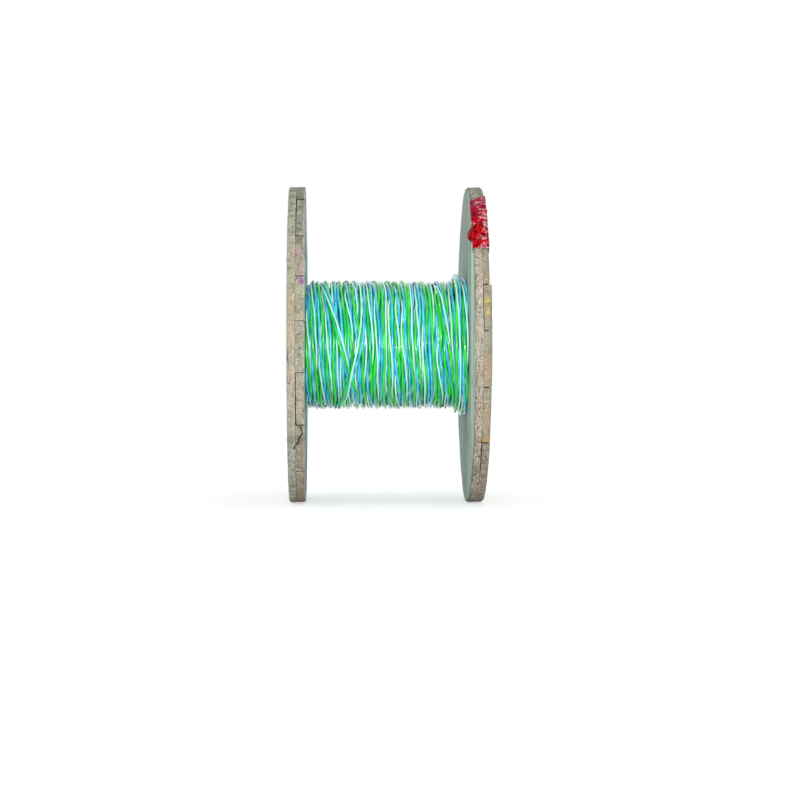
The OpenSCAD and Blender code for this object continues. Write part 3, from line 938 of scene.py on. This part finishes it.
def nail_head(side, back, up, top, chance):
    """Domed, slightly dented head, sunk a little into the wood."""
    radius = NAIL_HEAD_R * chance.uniform(0.88, 1.0)
    sink = chance.uniform(0, 0.25) * MM
    rings = [(radius * 0.93, top - 2.2 * MM)]
    rings += [(radius * share, top - down * MM - sink) for share, down in HEAD_RINGS]
    return lathe(rings, 18, side, (back, up))


def build_nails():
    steel = rusty_steel("nail_steel", rgb(122, 116, 108), 0.75, 0.5)
    chance = random.Random(5)
    for side, nails, node in ((-1, LEFT_NAILS, "left_flange_nails"), (1, RIGHT_NAILS, "right_flange_nails")):
        parts = []
        for back, up, _, level in nails:
            top = 2 * PLY - (RIGHT_OUTER_THIN[level] if side > 0 else 0)
            parts.append(nail_head(side, back, up, top, chance))
        stand_in(f"{node[:-1]}_heads", joined(parts), steel, node, 50)
    parts = []
    for side in (-1, 1):
        for k in range(HUB_NAIL_COUNT):
            turn = math.radians(HUB_NAIL_TURN) + 2 * math.pi * k / HUB_NAIL_COUNT
            place = (HUB_NAIL_CIRCLE_R * math.cos(turn), HUB_NAIL_CIRCLE_R * math.sin(turn))
            parts.append(nail_head(side, *place, 2 * PLY, chance))
    stand_in("bush_nail_heads", joined(parts), steel, "bush_nails", 50)
    repaint("stave_nails", steel)


def repaint(node, finish):
    """Gives a solid that stays its better material."""
    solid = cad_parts[node]
    for slot in solid.material_slots:
        slot.material = finish


def threaded_rod(place):
    """A rod through the drum with rolled threads and chamfered ends."""
    end = 2 * PLY - NUT_RECESS + ROD_PROUD
    outs = [end, end - 1.0 * MM]
    radii = [ROD_R - 1.1 * MM, ROD_R]
    for k in range(THREAD_STEPS):
        outs.append(end - (1.4 + 0.75 * k) * MM)
        radii.append(ROD_R - (THREAD_DEPTH if k % 2 == 0 else 0.0))
    outs += [-2 * INNER_FACE - out for out in reversed(outs)]
    radii += list(reversed(radii))
    return lathe(list(zip(radii, outs)), 24, 1, place)


def hex_nut(side, place, turned):
    """A nut with chamfered corners; its thread's mouth is sunk a little."""
    top = 2 * PLY - NUT_RECESS
    half = NUT_FLATS / 2
    turns = [2 * math.pi * k / NUT_SEGMENTS for k in range(NUT_SEGMENTS)]
    vertices = []
    for down in (NUT_H, 0.9 * MM, 0.5 * MM, 0.2 * MM, 0.0):
        for turn in turns:
            corner = (turn + math.pi / 6) % (math.pi / 3) - math.pi / 6
            reach = min(half / math.cos(corner), half * 0.97 + 1.9 * down)
            vertices.append(on_circle(side, place, reach, turn + turned, top - down))
    for radius, down in ((ROD_R + 0.6 * MM, 0.0), (ROD_R + 0.1 * MM, 0.6 * MM)):
        vertices += [on_circle(side, place, radius, turn + turned, top - down) for turn in turns]
    return vertices, capped_faces(len(vertices) // NUT_SEGMENTS, NUT_SEGMENTS)


def build_steel():
    bush = rusty_steel("bush_steel", rgb(136, 134, 130), 0.35, 0.42)
    rods = rusty_steel("rod_steel", rgb(150, 150, 148), 0.4, 0.4)
    nuts = rusty_steel("nut_steel", rgb(128, 126, 122), 0.5, 0.45)
    for node, steel, width in (("left_spindle_bush", bush, 0.5), ("right_spindle_bush", bush, 0.5),
                               ("tie_rod_washers", rods, 0.4)):
        repaint(node, steel)
        soften(node, width * MM)
    chance = random.Random(3)
    places = rod_places()
    lengths = joined([threaded_rod(place) for place in places])
    clamps = joined([hex_nut(side, place, chance.uniform(0, 1)) for side in (-1, 1) for place in places])
    stand_in("threaded_tie_rods", lengths, rods, "tie_rods", 40)
    stand_in("chamfered_nuts", clamps, nuts, "tie_rod_nuts", 30)


def soften(node, width):
    """Breaks the sharp edges of a solid that stays."""
    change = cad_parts[node].modifiers.new("broken_edges", "BEVEL")
    change.width = width
    change.segments = 2
    change.limit_method = "ANGLE"
    change.angle_limit = math.radians(40)


def build_barrel():
    for k in range(STAVE_COUNT):
        finish = wood(f"stave_wood_{k + 1}", "barrel", WOOD_TONES["barrel"], False, 1, 400 + k)
        repaint(f"barrel_stave_{k + 1}", finish)
    for side, node in ((-1, "left_barrel_head"), (1, "right_barrel_head")):
        repaint(node, wood(f"{node}_wood", "barrel", WOOD_TONES["barrel"], True, side, 430 + side))


# ---- Wire ----

def tube(centres, radial, radius, sides):
    """Rings of a round tube along centres. radial is a direction that is never along it."""
    along = np.gradient(centres, axis=0)
    along /= np.linalg.norm(along, axis=1, keepdims=True)
    first = radial - along * np.sum(radial * along, axis=1, keepdims=True)
    first /= np.linalg.norm(first, axis=1, keepdims=True)
    second = np.cross(along, first)
    around = np.linspace(0, 2 * np.pi, sides, endpoint=False)
    rings = (centres[:, None, :] + radius[:, None, None]
             * (np.cos(around)[None, :, None] * first[:, None, :]
                + np.sin(around)[None, :, None] * second[:, None, :]))
    return rings.reshape(-1, 3)


def drift(run, chance, size):
    """Slow, smooth stray of one core along the lead."""
    total = np.zeros_like(run)
    for rate in (1.3, 3.1, 6.7, 11.3):
        total += np.sin(run * rate + chance.uniform(0, 6.28)) / rate ** 0.4
    return size * total / 2


def twisted_lead(x, angle, radius, twist, sides, chance):
    """Vertices and faces of the three cores of a lead whose centre goes round the drum."""
    zero = np.zeros_like(x)
    radial = np.stack([zero, np.cos(angle), np.sin(angle)], axis=1)
    centre = np.stack([x, radius * np.cos(angle), AXIS_H + radius * np.sin(angle)], axis=1)
    axial = np.array([1.0, 0.0, 0.0])
    cores = []
    ring = np.arange(len(x))
    from_end = np.minimum(ring, ring[::-1])
    taper = np.sqrt(np.clip(1 - (1 - np.minimum(from_end, 4) / 4.0) ** 2, 0.02, 1))
    for k, core in enumerate(CORES):
        phase = twist + 2 * np.pi * k / 3 + drift(angle, chance, 0.35)
        sideways = LAY_HALF_WIDTH * np.cos(phase) + drift(angle, chance, 0.45 * MM)
        upwards = LAY_LIFT + LAY_HALF_HEIGHT * np.sin(phase)
        offset = sideways[:, None] * axial + upwards[:, None] * radial
        vertices = tube(centre + offset, radial, CORE_R[core] * taper, sides)
        cores.append(([tuple(v) for v in vertices], capped_faces(len(x), sides)))
    return cores


def twist_along(turns, chance):
    """Angle of the cores round the lead: the lay varies slowly from turn to turn."""
    rate = TWISTS_PER_TURN + 1.3 * np.sin(turns * 1.9 + chance.uniform(0, 6))
    rate += 1.1 * np.sin(turns * 5.3 + chance.uniform(0, 6))
    return -2 * np.pi * np.cumsum(rate) * (turns[1] - turns[0])


def wander(angle, turns, x):
    """Neighbouring turns wander together, and less near the flanges."""
    free = np.clip((WOUND_HALF - np.abs(x)) / (45 * MM), 0, 1)
    sway = 1.5 * np.sin(2 * angle + 0.30 * turns) + 0.9 * np.sin(5 * angle - 0.34 * turns + 1.0)
    return sway * MM * free


def outer_path():
    """The outer layer: up beside the left flange, across to the right one, and back over itself."""
    first = -FIRST_TURN * RINGS_PER_TURN
    last = (BASE_TURNS + UPPER_TURNS) * RINGS_PER_TURN
    turns = np.arange(first, last + 1) / RINGS_PER_TURN
    over = np.clip(turns - BASE_TURNS, 0, None)
    back = np.floor(over) + np.clip(2 * (over - np.floor(over)) - 1, 0, None)
    out = PITCH * np.clip(turns, 0, None) - WOUND_HALF
    x = np.where(turns <= BASE_TURNS, out, WOUND_HALF - PITCH * back)
    climb = np.where(over < 0.5, np.sqrt(np.clip(1 - (1 - 2 * over) ** 2, 0, 1)), 1.0) * LAYER_RISE
    beside = PITCH * (turns + 1)
    climb = np.where(turns < 0, -np.sqrt(np.clip(4 * LEAD_R ** 2 - beside ** 2, 0, None)), climb)
    angle = START_ANGLE + 2 * np.pi * turns
    radius = TURN_R + climb
    return turns, x + wander(angle, turns, x) * (over == 0), angle, radius


# Loose turns that cross the layer: degrees round the drum, mm along the axis, mm above the layer
STRAYS = (
    ((94, -102, -9), (106, -100.5, 0), (118, -98, 5.2), (140, -89, 6.4), (175, -73, 6.8), (204, -60, 6.8),
     (217, -53, 6.4), (236, -48, 5.2), (250, -46, 0), (264, -45.5, -9)),
    ((116, -33.5, -9), (130, -34, 0), (144, -35.5, 5.2), (164, -37, 6.4), (178, -41, 6.8), (203, -53, 11.2),
     (222, -62, 11.6), (240, -71, 6.8), (252, -76, 5.4), (264, -78.5, 0), (278, -79.5, -9)),
    ((96, 80, -9), (108, 80.5, 0), (122, 81.5, 5.2), (150, 86, 6.4), (180, 94, 6.6), (204, 99, 5.2),
     (216, 100, 0), (230, 100.5, -9)),
)


def stray_path(points):
    """A loose turn through its points, with its corners smoothed."""
    rings_per_degree = RINGS_PER_TURN / 360
    table = np.array(points, dtype=float)
    degrees = np.arange(table[0, 0], table[-1, 0], 1 / rings_per_degree)
    blur = np.hanning(13)
    blur /= blur.sum()
    rows = []
    for column in (1, 2):
        level = np.interp(degrees, table[:, 0], table[:, column])
        padded = np.pad(level, 6, mode="edge")
        rows.append(np.convolve(padded, blur, mode="valid") * MM)
    return np.radians(degrees), rows[0], TURN_R + rows[1]


def under_path(crest, way):
    """A plain layer from flange to flange, toward the left where way is 1."""
    rings = 60
    turns = np.arange(0, UNDER_TURNS * rings + 1) / rings
    run = np.clip(turns - 1, 0, UNDER_TURNS - 2) / (UNDER_TURNS - 2)
    x = WOUND_HALF * (1 - 2 * run) * way
    angle = 2.1 + 2 * np.pi * turns
    return turns, x, angle, np.full_like(turns, crest - LEAD_R)


def build_wire():
    chance = random.Random(11)
    paints = {
        "green": insulation("green_insulation", rgb(40, 226, 58), rgb(12, 182, 84)),
        "blue": insulation("blue_insulation", rgb(92, 220, 240), rgb(26, 172, 214)),
        "white": insulation("white_insulation", rgb(212, 255, 240), rgb(184, 252, 232)),
    }
    turns, x, angle, radius = outer_path()
    leads = [twisted_lead(x, angle, radius, twist_along(turns, chance), 12, chance)]
    for points in STRAYS:
        way, where, height = stray_path(points)
        leads.append(twisted_lead(where, way, height, twist_along(way / (2 * np.pi), chance), 12, chance))
    under = []
    for crest, way in ((UNDER_CREST, 1), (UNDER_CREST - LAYER_DEPTH, -1)):
        turns, x, angle, radius = under_path(crest, way)
        under.append(twisted_lead(x, angle, radius, twist_along(turns, chance), 8, chance))
    for k, core in enumerate(CORES):
        for layer, wound, node in (("outer", leads, "outer_wire_layer"),
                                   ("lower", under, "lower_wire_layers")):
            shape = joined([lead[k] for lead in wound])
            stand_in(f"{layer}_layer_{core}_core", shape, paints[core], node)


# ---- Tape ----

TAPE_START = math.radians(35.5)
TAPE_ARC = math.radians(32.5)
TAPE_ROWS = 150
TAPE_WIDTH = 52 * MM
TAPE_THICK = 0.22 * MM
TAPE_OFF = 0.1 * MM             # least gap between the tape and the wood
TAPE_CORNER = 1.2 * MM          # radius of its bends
INNER_FOLD = 12 * MM
OUTER_FOLD = 15 * MM
TORN = 26 * MM                  # how much shorter the tape is at its inner fold
FLAP_TURN = math.radians(44)    # middle of the part of the inner fold that stands off
FLAP_SPREAD = math.radians(3.0)
FLAP_OFF = 6.5 * MM


def crumple(along, over, sites):
    """Sharp valleys between the nearest two of the sites, 0 to about 1."""
    nearest = second = 1.0
    for site_along, site_over, reach in sites:
        far = math.hypot(along - site_along, over - site_over) / reach
        if far < nearest:
            nearest, second = far, nearest
        elif far < second:
            second = far
    return second - nearest


def scatter(chance, count, reach):
    start = TAPE_START * FLANGE_R
    length = TAPE_ARC * FLANGE_R
    return [(start + length * chance.random(), TAPE_WIDTH * chance.random(), reach * chance.uniform(0.7, 1.4))
            for _ in range(count)]


def tent(turn, down):
    """How far the tape is held off the outer face by nail heads under it."""
    radius = FLANGE_R - down
    place = (-radius * math.cos(turn), radius * math.sin(turn))
    near = min(math.dist(place, nail[:2]) for nail in RIGHT_NAILS)
    return 1.5 * MM * min(1.0, max(0.0, 2 - near / NAIL_HEAD_R * 0.8))


def tape_folds():
    """The tape's way over the rim: depth below the rim, out, normal down, normal out."""
    top = 2 * PLY - RIGHT_OUTER_THIN[5] - HEAD_PROUD + 0.15 * MM
    bends = [(1 - math.sin(turn), 1 - math.cos(turn)) for turn in np.linspace(0, math.pi / 2, 5)[1:-1]]
    folds = [(step, -TAPE_OFF, 0.0, -1.0) for step in np.linspace(INNER_FOLD, TAPE_CORNER, 16)]
    for down, out in bends:
        folds.append((TAPE_CORNER * down, TAPE_CORNER * out - TAPE_OFF, down - 1, out - 1))
    folds += [(0.0, step, -1.0, 0.0) for step in np.linspace(TAPE_CORNER, top - TAPE_CORNER, 28)]
    for out, down in bends:
        folds.append((TAPE_CORNER * down, top - TAPE_CORNER * out, down - 1, 1 - out))
    return folds + [(step, top, 0.0, 1.0) for step in np.linspace(TAPE_CORNER, OUTER_FOLD, 18)]


def tape_place(fold, over, share, sites, sunk):
    """A point of the crumpled tape: over is its way across the tape, share its way along it."""
    down, out, normal_down, normal_out = fold
    turn = TAPE_START + TAPE_ARC * share
    if share < 0.06 or share > 0.94:
        turn += 1.2 * MM * noise.noise(Vector((over * 260, share * 3, 4.0))) / FLANGE_R
    torn = TORN * min(1.0, max(0.0, (40 * MM - over) / (28 * MM)))
    torn += 3 * MM * noise.noise(Vector((over * 90, 7.0, 0.0)))
    turn -= torn / FLANGE_R * max(0.0, share - 0.5) * 2
    along = turn * FLANGE_R
    big, small = sites
    lift = (0.1 + 1.5 * crumple(along, over, big) + 0.7 * crumple(along, over, small)) * MM
    if normal_out < -0.5:
        flap = math.exp(-((turn - FLAP_TURN) / FLAP_SPREAD) ** 4)
        out -= FLAP_OFF * flap * min(1.0, max(0.0, (down - 1 * MM) / (INNER_FOLD - 1 * MM)))
        lift *= 0.6
    if normal_out > 0.5:
        lift = max(lift, tent(turn, down))
    lift -= sunk
    radius = FLANGE_R - down - normal_down * lift + TAPE_OFF
    return on_flange(1, -radius * math.cos(turn), radius * math.sin(turn), out + normal_out * lift)


def build_tape():
    chance = random.Random(23)
    sites = (scatter(chance, 42, 14 * MM), scatter(chance, 170, 7 * MM))
    folds = tape_folds()
    lengths = [0.0]
    for before, after in zip(folds, folds[1:]):
        lengths.append(lengths[-1] + math.dist(before[:2], after[:2]))
    vertices = []
    for sunk in (0.0, TAPE_THICK):
        for row in range(TAPE_ROWS):
            share = row / (TAPE_ROWS - 1)
            vertices += [tape_place(fold, over, share, sites, sunk) for fold, over in zip(folds, lengths)]
    columns = len(folds)
    sheet = TAPE_ROWS * columns
    faces = grid_faces(TAPE_ROWS, columns, closed=False)
    faces += [tuple(reversed(face)) for face in grid_faces(TAPE_ROWS, columns, sheet, closed=False)]
    ends = [(base + column, 1) for column in range(columns - 1) for base in (0, sheet - columns)]
    ends += [(row * columns + column, columns) for row in range(TAPE_ROWS - 1) for column in (0, columns - 1)]
    for here, step in ends:
        faces.append((here, here + step, here + step + sheet, here + sheet))
    stand_in("crinkled_rim_tape", (vertices, faces), tape_plastic(), "rim_tape")


# ---- Stage ----

BLACK = (0.0, 0.0, 0.0, 1.0)
WHITE = (1.0, 1.0, 1.0, 1.0)
FLOOR_GREY = (0.8, 0.8, 0.8, 1.0)
SKY_GREY = (0.62, 0.64, 0.65, 1.0)
FLOOR_SIZE = 30
CAMERA_LENS = 102.8
CAMERA_PLACE = (-0.0806, -3.625, 0.248)
CAMERA_TURN = (math.radians(88.62), 0, math.radians(-1.63))
# Lamps: name, place, size, power
LAMPS = (
    ("front_key", (-0.5, -3.6, 0.6), 1.1, 32),
    ("front_flash", (0.1, -3.3, 0.28), 0.26, 46),
    ("ceiling", (0.35, -0.35, 2.4), 0.22, 3),
)


def seen_or_mirrored(tree):
    """1 for the camera's own rays and for rays mirrored or let through by the object."""
    light = tree.nodes.new("ShaderNodeLightPath")
    seen = Value(tree, light.outputs["Is Camera Ray"])
    for kind in ("Is Glossy Ray", "Is Transmission Ray"):
        seen = seen.most(Value(tree, light.outputs[kind]))
    return seen


def build_floor():
    bpy.ops.mesh.primitive_plane_add(size=FLOOR_SIZE, location=(0, 0, 0))
    floor = bpy.context.object
    floor.name = "floor"
    finish = Finish("floor_white", 0.9, specular=0.0)
    finish.shader.inputs["Base Color"].default_value = FLOOR_GREY
    finish.shader.inputs["Emission Strength"].default_value = 0.5
    finish.set("Emission Color", mix(seen_or_mirrored(finish.tree), BLACK, WHITE))
    floor.data.materials.append(finish.made)


def build_world():
    world = bpy.data.worlds.new("plain_world")
    bpy.context.scene.world = world
    world.use_nodes = True
    tree = world.node_tree
    back = tree.nodes["Background"]
    shade = mix(seen_or_mirrored(tree), SKY_GREY, WHITE)
    tree.links.new(shade.socket, back.inputs["Color"])
    back.inputs["Strength"].default_value = 1.0


def add_lamp(name, place, size, power):
    """A round lamp aimed at the middle of the drum."""
    lamp = bpy.data.lights.new(name, "AREA")
    lamp.shape = "DISK"
    lamp.size = size
    lamp.energy = power
    made = bpy.data.objects.new(name, lamp)
    bpy.context.scene.collection.objects.link(made)
    made.location = place
    way = Vector((0, 0, AXIS_H)) - Vector(place)
    made.rotation_euler = way.to_track_quat("-Z", "Y").to_euler()


def build_camera():
    camera = bpy.data.cameras.new("camera")
    camera.lens = CAMERA_LENS
    camera.sensor_width = 36
    made = bpy.data.objects.new("camera", camera)
    bpy.context.scene.collection.objects.link(made)
    made.location = CAMERA_PLACE
    made.rotation_euler = CAMERA_TURN
    bpy.context.scene.camera = made


build_boards()
build_nails()
build_steel()
build_barrel()
build_wire()
build_tape()
build_floor()
build_world()
for lamp in LAMPS:
    add_lamp(*lamp)
build_camera()
bpy.context.scene.view_settings.view_transform = "Standard"
